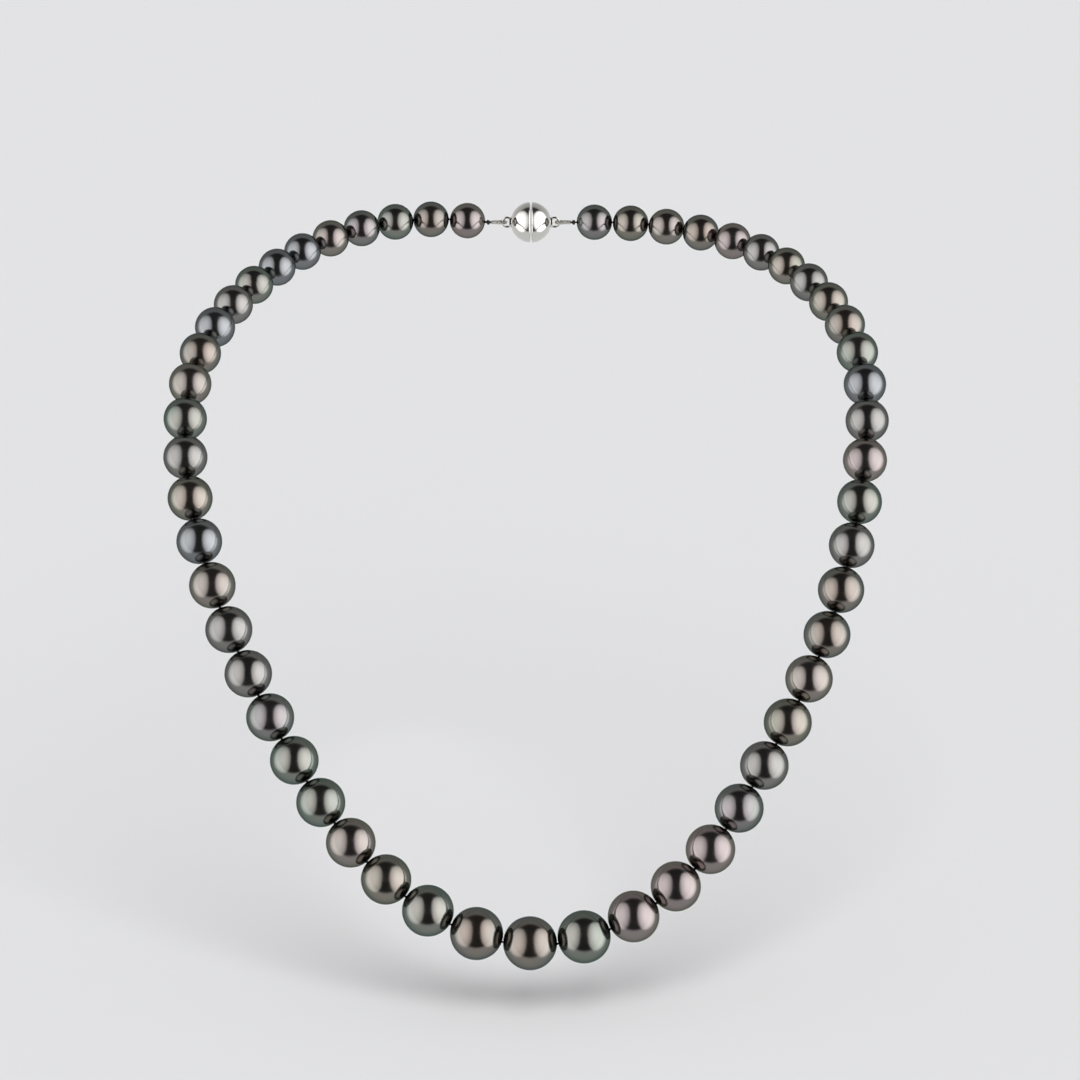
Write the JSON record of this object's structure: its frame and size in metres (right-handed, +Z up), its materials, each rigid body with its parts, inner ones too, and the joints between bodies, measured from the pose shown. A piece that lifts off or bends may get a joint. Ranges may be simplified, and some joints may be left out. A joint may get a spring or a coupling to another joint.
{
  "type": "pearl necklace",
  "caption": "Graduated strand of round dark grey-green pearls on silk, closed at the nape by a magnetic ball clasp.",
  "frame": {"origin": "centre of the clasp ball, where the strand crosses the back of the wearer's neck", "axes": "+Z up; +X to the viewer's right, along the clasp from its left half to its right half; the front of the strand faces -Y. left and right in names are as seen from the front"},
  "size_m": [0.1513, 0.1428, 0.1236],
  "materials": {
    "nacre_bronze": "gloss",
    "nacre_rose": "gloss",
    "nacre_aubergine": "gloss",
    "nacre_peacock": "gloss",
    "nacre_green": "gloss",
    "nacre_olive": "gloss",
    "nacre_silver": "gloss",
    "nacre_steel_blue": "gloss",
    "silk": "matte",
    "french_wire": "satin",
    "white_gold": "polished",
    "magnet": "satin"
  },
  "bodies": {
    "pearl_centre": {"pearl_centre": "nacre_bronze", "silk_thread": "silk"},
    "pearl_left_01": {"pearl_left_01": "nacre_bronze"},
    "pearl_left_02": {"pearl_left_02": "nacre_green"},
    "pearl_left_03": {"pearl_left_03": "nacre_olive"},
    "pearl_left_04": {"pearl_left_04": "nacre_rose"},
    "pearl_left_05": {"pearl_left_05": "nacre_green"},
    "pearl_left_06": {"pearl_left_06": "nacre_green"},
    "pearl_left_07": {"pearl_left_07": "nacre_peacock"},
    "pearl_left_08": {"pearl_left_08": "nacre_silver"},
    "pearl_left_09": {"pearl_left_09": "nacre_silver"},
    "pearl_left_10": {"pearl_left_10": "nacre_rose"},
    "pearl_left_11": {"pearl_left_11": "nacre_steel_blue"},
    "pearl_left_12": {"pearl_left_12": "nacre_olive"},
    "pearl_left_13": {"pearl_left_13": "nacre_silver"},
    "pearl_left_14": {"pearl_left_14": "nacre_green"},
    "pearl_left_15": {"pearl_left_15": "nacre_rose"},
    "pearl_left_16": {"pearl_left_16": "nacre_bronze"},
    "pearl_left_17": {"pearl_left_17": "nacre_steel_blue"},
    "pearl_left_18": {"pearl_left_18": "nacre_silver"},
    "pearl_left_19": {"pearl_left_19": "nacre_green"},
    "pearl_left_20": {"pearl_left_20": "nacre_steel_blue"},
    "pearl_left_21": {"pearl_left_21": "nacre_steel_blue"},
    "pearl_left_22": {"pearl_left_22": "nacre_rose"},
    "pearl_left_23": {"pearl_left_23": "nacre_peacock"},
    "pearl_left_24": {"pearl_left_24": "nacre_green"},
    "pearl_left_25": {"pearl_left_25": "nacre_bronze"},
    "pearl_left_26": {"pearl_left_26": "nacre_aubergine", "french_wire_left": "french_wire"},
    "clasp_left": {"clasp_shell_left": "white_gold", "clasp_magnet_left": "magnet"},
    "pearl_right_01": {"pearl_right_01": "nacre_green"},
    "pearl_right_02": {"pearl_right_02": "nacre_aubergine"},
    "pearl_right_03": {"pearl_right_03": "nacre_aubergine"},
    "pearl_right_04": {"pearl_right_04": "nacre_aubergine"},
    "pearl_right_05": {"pearl_right_05": "nacre_peacock"},
    "pearl_right_06": {"pearl_right_06": "nacre_silver"},
    "pearl_right_07": {"pearl_right_07": "nacre_olive"},
    "pearl_right_08": {"pearl_right_08": "nacre_rose"},
    "pearl_right_09": {"pearl_right_09": "nacre_bronze"},
    "pearl_right_10": {"pearl_right_10": "nacre_bronze"},
    "pearl_right_11": {"pearl_right_11": "nacre_silver"},
    "pearl_right_12": {"pearl_right_12": "nacre_green"},
    "pearl_right_13": {"pearl_right_13": "nacre_aubergine"},
    "pearl_right_14": {"pearl_right_14": "nacre_silver"},
    "pearl_right_15": {"pearl_right_15": "nacre_steel_blue"},
    "pearl_right_16": {"pearl_right_16": "nacre_green"},
    "pearl_right_17": {"pearl_right_17": "nacre_bronze"},
    "pearl_right_18": {"pearl_right_18": "nacre_olive"},
    "pearl_right_19": {"pearl_right_19": "nacre_silver"},
    "pearl_right_20": {"pearl_right_20": "nacre_olive"},
    "pearl_right_21": {"pearl_right_21": "nacre_silver"},
    "pearl_right_22": {"pearl_right_22": "nacre_aubergine"},
    "pearl_right_23": {"pearl_right_23": "nacre_bronze"},
    "pearl_right_24": {"pearl_right_24": "nacre_rose"},
    "pearl_right_25": {"pearl_right_25": "nacre_olive"},
    "pearl_right_26": {"pearl_right_26": "nacre_peacock", "french_wire_right": "french_wire"},
    "clasp_right": {"clasp_shell_right": "white_gold", "clasp_magnet_right": "magnet"}
  },
  "joints": [
    {"name": "link_left_01", "type": "hinge", "parent": "pearl_centre", "child": "pearl_left_01", "pos_m": [-0.00557, -0.13277, -0.11291], "axis": [0.0164, -0.8616, 0.5073], "range_deg": [0, 17.08], "deforming": ["silk_thread"]},
    {"name": "link_left_02", "type": "hinge", "parent": "pearl_left_01", "child": "pearl_left_02", "pos_m": [-0.01605, -0.13111, -0.10975], "axis": [0.0407, -0.8226, 0.5672], "range_deg": [0, 12.99]},
    {"name": "link_left_03", "type": "hinge", "parent": "pearl_left_02", "child": "pearl_left_03", "pos_m": [-0.02523, -0.12821, -0.10488], "axis": [0.0947, -0.7663, 0.6354], "range_deg": [0, 10.49]},
    {"name": "link_left_04", "type": "hinge", "parent": "pearl_left_03", "child": "pearl_left_04", "pos_m": [-0.03304, -0.1243, -0.09901], "axis": [0.0836, -0.775, 0.6264], "range_deg": [0, 8.42]},
    {"name": "link_left_05", "type": "hinge", "parent": "pearl_left_04", "child": "pearl_left_05", "pos_m": [-0.03968, -0.1197, -0.09242], "axis": [-0.0662, -0.8477, 0.5263], "range_deg": [0, 5.74]},
    {"name": "link_left_06", "type": "hinge", "parent": "pearl_left_05", "child": "pearl_left_06", "pos_m": [-0.04544, -0.11485, -0.08534], "axis": [-0.4097, -0.873, 0.2645], "range_deg": [0, 3.61]},
    {"name": "link_left_07", "type": "hinge", "parent": "pearl_left_06", "child": "pearl_left_07", "pos_m": [-0.05066, -0.11014, -0.0779], "axis": [-0.4895, -0.8501, 0.1941], "range_deg": [0, 2.83]},
    {"name": "link_left_08", "type": "hinge", "parent": "pearl_left_07", "child": "pearl_left_08", "pos_m": [-0.05548, -0.10561, -0.0702], "axis": [-0.1241, -0.8872, 0.4445], "range_deg": [0, 2.74]},
    {"name": "link_left_09", "type": "hinge", "parent": "pearl_left_08", "child": "pearl_left_09", "pos_m": [-0.05983, -0.10107, -0.06235], "axis": [0.2315, -0.7809, 0.5801], "range_deg": [0, 3.18]},
    {"name": "link_left_10", "type": "hinge", "parent": "pearl_left_09", "child": "pearl_left_10", "pos_m": [-0.06365, -0.09634, -0.05446], "axis": [0.4849, -0.6265, 0.6102], "range_deg": [0, 4.08]},
    {"name": "link_left_11", "type": "hinge", "parent": "pearl_left_10", "child": "pearl_left_11", "pos_m": [-0.06687, -0.09123, -0.04665], "axis": [0.6356, -0.499, 0.589], "range_deg": [0, 5.4]},
    {"name": "link_left_12", "type": "hinge", "parent": "pearl_left_11", "child": "pearl_left_12", "pos_m": [-0.06939, -0.08558, -0.03914], "axis": [0.7135, -0.4234, 0.5583], "range_deg": [0, 6.77]},
    {"name": "link_left_13", "type": "hinge", "parent": "pearl_left_12", "child": "pearl_left_13", "pos_m": [-0.07113, -0.07925, -0.03212], "axis": [0.7261, -0.4116, 0.5507], "range_deg": [0, 7.55]},
    {"name": "link_left_14", "type": "hinge", "parent": "pearl_left_13", "child": "pearl_left_14", "pos_m": [-0.072, -0.07228, -0.02576], "axis": [0.6912, -0.4379, 0.5749], "range_deg": [0, 7.97]},
    {"name": "link_left_15", "type": "hinge", "parent": "pearl_left_14", "child": "pearl_left_15", "pos_m": [-0.07192, -0.06479, -0.02016], "axis": [0.6572, -0.4563, 0.5999], "range_deg": [0, 8.76]},
    {"name": "link_left_16", "type": "hinge", "parent": "pearl_left_15", "child": "pearl_left_16", "pos_m": [-0.07079, -0.05696, -0.01544], "axis": [0.6172, -0.4695, 0.6314], "range_deg": [0, 9.12]},
    {"name": "link_left_17", "type": "hinge", "parent": "pearl_left_16", "child": "pearl_left_17", "pos_m": [-0.06858, -0.04903, -0.0117], "axis": [0.5313, -0.4777, 0.6996], "range_deg": [0, 7.64]},
    {"name": "link_left_18", "type": "hinge", "parent": "pearl_left_17", "child": "pearl_left_18", "pos_m": [-0.06547, -0.04127, -0.00876], "axis": [0.3955, -0.4596, 0.7952], "range_deg": [0, 6.04]},
    {"name": "link_left_19", "type": "hinge", "parent": "pearl_left_18", "child": "pearl_left_19", "pos_m": [-0.06167, -0.03385, -0.00636], "axis": [0.2062, -0.3951, 0.8952], "range_deg": [0, 4.96]},
    {"name": "link_left_20", "type": "hinge", "parent": "pearl_left_19", "child": "pearl_left_20", "pos_m": [-0.05732, -0.02685, -0.00427], "axis": [0.1124, -0.3474, 0.9309], "range_deg": [0, 5.11]},
    {"name": "link_left_21", "type": "hinge", "parent": "pearl_left_20", "child": "pearl_left_21", "pos_m": [-0.05245, -0.02036, -0.00244], "axis": [0.1194, -0.352, 0.9284], "range_deg": [0, 6.16]},
    {"name": "link_left_22", "type": "hinge", "parent": "pearl_left_21", "child": "pearl_left_22", "pos_m": [-0.04692, -0.01439, -0.00089], "axis": [0.1254, -0.3568, 0.9257], "range_deg": [0, 7.58]},
    {"name": "link_left_23", "type": "hinge", "parent": "pearl_left_22", "child": "pearl_left_23", "pos_m": [-0.04065, -0.00915, 0.00028], "axis": [0.1271, -0.3586, 0.9248], "range_deg": [0, 9.15]},
    {"name": "link_left_24", "type": "hinge", "parent": "pearl_left_23", "child": "pearl_left_24", "pos_m": [-0.03366, -0.00489, 0.00097], "axis": [0.1158, -0.3414, 0.9328], "range_deg": [0, 10.31]},
    {"name": "link_left_25", "type": "hinge", "parent": "pearl_left_24", "child": "pearl_left_25", "pos_m": [-0.02606, -0.00186, 0.00114], "axis": [0.1056, -0.3163, 0.9428], "range_deg": [0, 10.76]},
    {"name": "link_left_26", "type": "hinge", "parent": "pearl_left_25", "child": "pearl_left_26", "pos_m": [-0.01808, -0.00023, 0.00079], "axis": [0.1014, -0.2944, 0.9503], "range_deg": [0, 10.39]},
    {"name": "clasp_swivel_left", "type": "hinge", "parent": "pearl_left_26", "child": "clasp_left", "pos_m": [-0.0063, 0, 0], "axis": [-1, 0, 0], "range_deg": [-30, 30]},
    {"name": "link_right_01", "type": "hinge", "parent": "pearl_centre", "child": "pearl_right_01", "pos_m": [0.00559, -0.13278, -0.11329], "axis": [-0.0162, 0.8655, -0.5007], "range_deg": [0, 17.21]},
    {"name": "link_right_02", "type": "hinge", "parent": "pearl_right_01", "child": "pearl_right_02", "pos_m": [0.01623, -0.13115, -0.11081], "axis": [-0.0026, 0.84, -0.5425], "range_deg": [0, 13.92]},
    {"name": "link_right_03", "type": "hinge", "parent": "pearl_right_02", "child": "pearl_right_03", "pos_m": [0.02561, -0.12825, -0.10638], "axis": [0.0275, 0.8096, -0.5863], "range_deg": [0, 12.51]},
    {"name": "link_right_04", "type": "hinge", "parent": "pearl_right_03", "child": "pearl_right_04", "pos_m": [0.03342, -0.12431, -0.10057], "axis": [0.0269, 0.81, -0.5858], "range_deg": [0, 10.21]},
    {"name": "link_right_05", "type": "hinge", "parent": "pearl_right_04", "child": "pearl_right_05", "pos_m": [0.0398, -0.11964, -0.09381], "axis": [-0.0461, 0.8413, -0.5385], "range_deg": [0, 6.07]},
    {"name": "link_right_06", "type": "hinge", "parent": "pearl_right_05", "child": "pearl_right_06", "pos_m": [0.04523, -0.1147, -0.08657], "axis": [-0.3373, 0.8763, -0.344], "range_deg": [0, 2.45]},
    {"name": "link_right_07", "type": "hinge", "parent": "pearl_right_06", "child": "pearl_right_07", "pos_m": [0.05027, -0.10984, -0.07912], "axis": [-0.3971, 0.868, -0.2981], "range_deg": [0, 1.89]},
    {"name": "link_right_08", "type": "hinge", "parent": "pearl_right_07", "child": "pearl_right_08", "pos_m": [0.055, -0.10508, -0.07154], "axis": [-0.0666, 0.8628, -0.5011], "range_deg": [0, 3.18]},
    {"name": "link_right_09", "type": "hinge", "parent": "pearl_right_08", "child": "pearl_right_09", "pos_m": [0.05918, -0.10026, -0.0638], "axis": [0.0835, 0.8251, -0.5588], "range_deg": [0, 4.58]},
    {"name": "link_right_10", "type": "hinge", "parent": "pearl_right_09", "child": "pearl_right_10", "pos_m": [0.0626, -0.09526, -0.05592], "axis": [0.2839, 0.7497, -0.5978], "range_deg": [0, 4.68]},
    {"name": "link_right_11", "type": "hinge", "parent": "pearl_right_10", "child": "pearl_right_11", "pos_m": [0.06525, -0.08999, -0.04804], "axis": [0.5845, 0.5692, -0.5782], "range_deg": [0, 4.25]},
    {"name": "link_right_12", "type": "hinge", "parent": "pearl_right_11", "child": "pearl_right_12", "pos_m": [0.06731, -0.08434, -0.0404], "axis": [0.8107, 0.3446, -0.4733], "range_deg": [0, 4.39]},
    {"name": "link_right_13", "type": "hinge", "parent": "pearl_right_12", "child": "pearl_right_13", "pos_m": [0.06894, -0.07825, -0.03318], "axis": [0.8255, 0.3258, -0.4608], "range_deg": [0, 5.29]},
    {"name": "link_right_14", "type": "hinge", "parent": "pearl_right_13", "child": "pearl_right_14", "pos_m": [0.07007, -0.07166, -0.0265], "axis": [0.756, 0.3976, -0.5199], "range_deg": [0, 6.85]},
    {"name": "link_right_15", "type": "hinge", "parent": "pearl_right_14", "child": "pearl_right_15", "pos_m": [0.07046, -0.06454, -0.02049], "axis": [0.7065, 0.4336, -0.5593], "range_deg": [0, 8.73]},
    {"name": "link_right_16", "type": "hinge", "parent": "pearl_right_15", "child": "pearl_right_16", "pos_m": [0.06985, -0.05693, -0.01535], "axis": [0.6657, 0.4531, -0.593], "range_deg": [0, 9.78]},
    {"name": "link_right_17", "type": "hinge", "parent": "pearl_right_16", "child": "pearl_right_17", "pos_m": [0.06812, -0.04907, -0.01129], "axis": [0.6023, 0.4672, -0.6472], "range_deg": [0, 8.51]},
    {"name": "link_right_18", "type": "hinge", "parent": "pearl_right_17", "child": "pearl_right_18", "pos_m": [0.06544, -0.04126, -0.00815], "axis": [0.5154, 0.4662, -0.719], "range_deg": [0, 7.17]},
    {"name": "link_right_19", "type": "hinge", "parent": "pearl_right_18", "child": "pearl_right_19", "pos_m": [0.06196, -0.0337, -0.00574], "axis": [0.4054, 0.4415, -0.8005], "range_deg": [0, 6.3]},
    {"name": "link_right_20", "type": "hinge", "parent": "pearl_right_19", "child": "pearl_right_20", "pos_m": [0.05781, -0.02654, -0.00389], "axis": [0.2678, 0.3834, -0.8839], "range_deg": [0, 6.44]},
    {"name": "link_right_21", "type": "hinge", "parent": "pearl_right_20", "child": "pearl_right_21", "pos_m": [0.05301, -0.01993, -0.00248], "axis": [0.1509, 0.3101, -0.9386], "range_deg": [0, 7.49]},
    {"name": "link_right_22", "type": "hinge", "parent": "pearl_right_21", "child": "pearl_right_22", "pos_m": [0.0474, -0.01396, -0.00141], "axis": [0.0719, 0.2411, -0.9678], "range_deg": [0, 8.93]},
    {"name": "link_right_23", "type": "hinge", "parent": "pearl_right_22", "child": "pearl_right_23", "pos_m": [0.04095, -0.00891, -0.00063], "axis": [0.0277, 0.1869, -0.982], "range_deg": [0, 10.09]},
    {"name": "link_right_24", "type": "hinge", "parent": "pearl_right_23", "child": "pearl_right_24", "pos_m": [0.03373, -0.00506, -0.0001], "axis": [0.0285, 0.1883, -0.9817], "range_deg": [0, 9.09]},
    {"name": "link_right_25", "type": "hinge", "parent": "pearl_right_24", "child": "pearl_right_25", "pos_m": [0.02602, -0.00238, 0.00019], "axis": [0.0417, 0.2255, -0.9734], "range_deg": [0, 7.61]},
    {"name": "link_right_26", "type": "hinge", "parent": "pearl_right_25", "child": "pearl_right_26", "pos_m": [0.01806, -0.00073, 0.00023], "axis": [0.0525, 0.2773, -0.9593], "range_deg": [0, 6.8]},
    {"name": "clasp_swivel_right", "type": "hinge", "parent": "pearl_right_26", "child": "clasp_right", "pos_m": [0.0063, 0, 0], "axis": [1, 0, 0], "range_deg": [-30, 30]}
  ]
}
